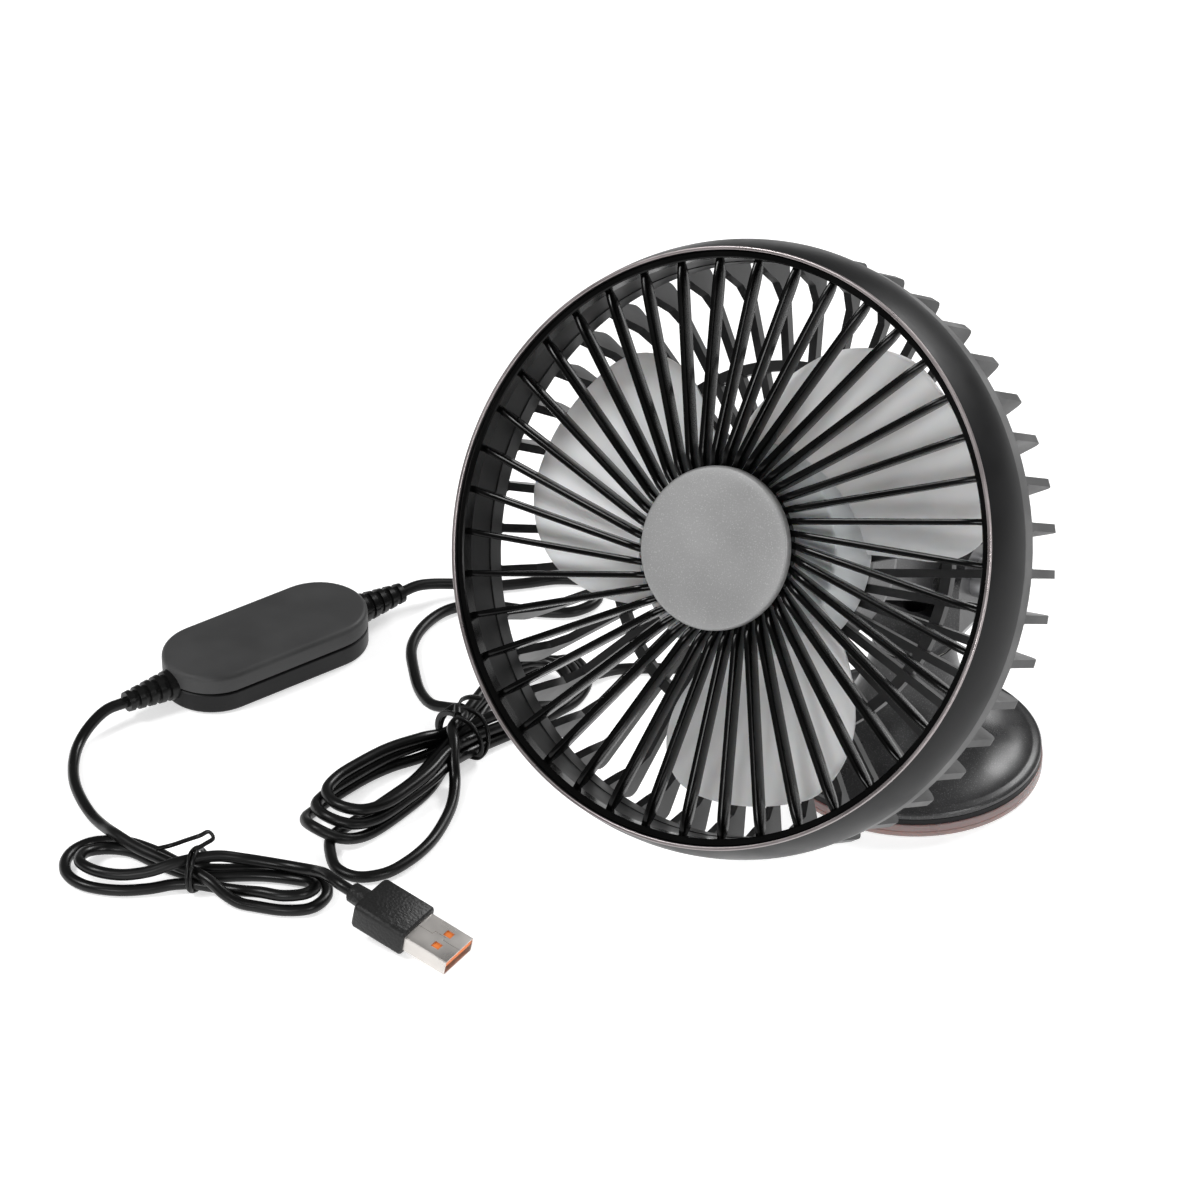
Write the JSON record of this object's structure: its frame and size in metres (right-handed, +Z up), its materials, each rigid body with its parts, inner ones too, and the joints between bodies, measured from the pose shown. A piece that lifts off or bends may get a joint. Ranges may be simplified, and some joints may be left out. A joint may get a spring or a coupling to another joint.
{
  "type": "desk fan",
  "caption": "Small round desk fan with a caged head on a swivel and tilt arm, a round gel-pad base, an in-line slide switch and a tied USB lead.",
  "frame": {"origin": "centre of the underside of the base's gel pad, on the desk", "axes": "+Z up, the fan faces -Y, +X to the right of someone facing the base from the front"},
  "size_m": [0.2573, 0.198, 0.1798],
  "materials": {
    "gel": "translucent soft gel, faintly pink",
    "black_abs": "fine matt moulding",
    "dark_shell": "satin with a fine sparkle",
    "steel": "plain steel",
    "nylon": "plain nylon",
    "black_pvc": "glossy flexible PVC",
    "dark_abs": "fine matt moulding",
    "circuit_board": "green solder mask",
    "cage_grey": "satin",
    "satin_black": "satin black",
    "bright_trim": "thin bright ring",
    "gloss_black": "gloss black",
    "cap_grey": "fine-grained mid grey",
    "ferrite": "dark ferrite",
    "bronze": "sintered bronze",
    "impeller_grey": "light grey satin",
    "copper_core": "wound core",
    "plug_steel": "nickel-plated shell",
    "orange_abs": "orange tongue",
    "gold_contact": "gold-plated contacts"
  },
  "bodies": {
    "base": {"gel_pad": "gel", "base_plate": "black_abs", "base_weight": "steel", "base_shell": "dark_shell", "base_screws": "steel", "swivel_washer": "nylon", "cord_gland": "black_pvc", "controller_top": "dark_abs", "controller_bottom": "black_abs", "controller_board": "circuit_board", "relief_fan_side": "black_pvc", "relief_plug_side": "black_pvc", "cord_from_base": "black_pvc", "cord_hank_1": "black_pvc", "cord_loose_loop": "black_pvc", "cord_to_controller": "black_pvc", "hank_tie_1": "black_pvc", "cord_from_controller": "black_pvc", "cord_hank_2": "black_pvc", "hank_tie_2": "black_pvc", "cord_to_plug": "black_pvc", "plug_overmould": "black_abs", "plug_shell": "plug_steel", "plug_tongue": "orange_abs", "plug_contacts": "gold_contact"},
    "swivel": {"yoke": "dark_shell", "spindle_nut": "steel", "tilt_bolt": "steel", "tilt_nut": "steel", "friction_washers": "nylon"},
    "head": {"tilt_arm": "dark_shell", "arm_cover": "black_abs", "arm_screws": "steel", "motor_housing": "dark_shell", "rear_cage": "cage_grey", "cage_screws": "steel", "front_rim": "satin_black", "trim_ring": "bright_trim", "front_grille": "gloss_black", "hub_cap": "cap_grey", "motor_can": "steel", "motor_magnets": "ferrite", "motor_end_cap": "nylon", "motor_screws": "steel", "motor_board": "circuit_board", "front_bearing": "bronze", "rear_bearing": "bronze"},
    "rotor": {"impeller": "impeller_grey", "motor_shaft": "steel", "rotor_core": "copper_core", "impeller_clip": "steel"},
    "slider": {"speed_slider": "black_abs"}
  },
  "joints": [
    {"name": "pan_swivel", "type": "hinge", "parent": "base", "child": "swivel", "pos_m": [0, 0, 0.0386], "axis": [0, 0, 1], "range_deg": [-170, 170]},
    {"name": "tilt_hinge", "type": "hinge", "parent": "swivel", "child": "head", "pos_m": [0, 0.006, 0.059], "axis": [-1, 0, 0], "range_deg": [-12, 60]},
    {"name": "fan_spin", "type": "hinge", "parent": "head", "child": "rotor", "pos_m": [0, -0.09758, 0.1188], "axis": [0, -0.866, 0.5], "continuous": true},
    {"name": "speed_slide", "type": "slide", "parent": "base", "child": "slider", "axis": [0.3502, 0.9367, 0], "range_m": [0, 0.005]}
  ]
}
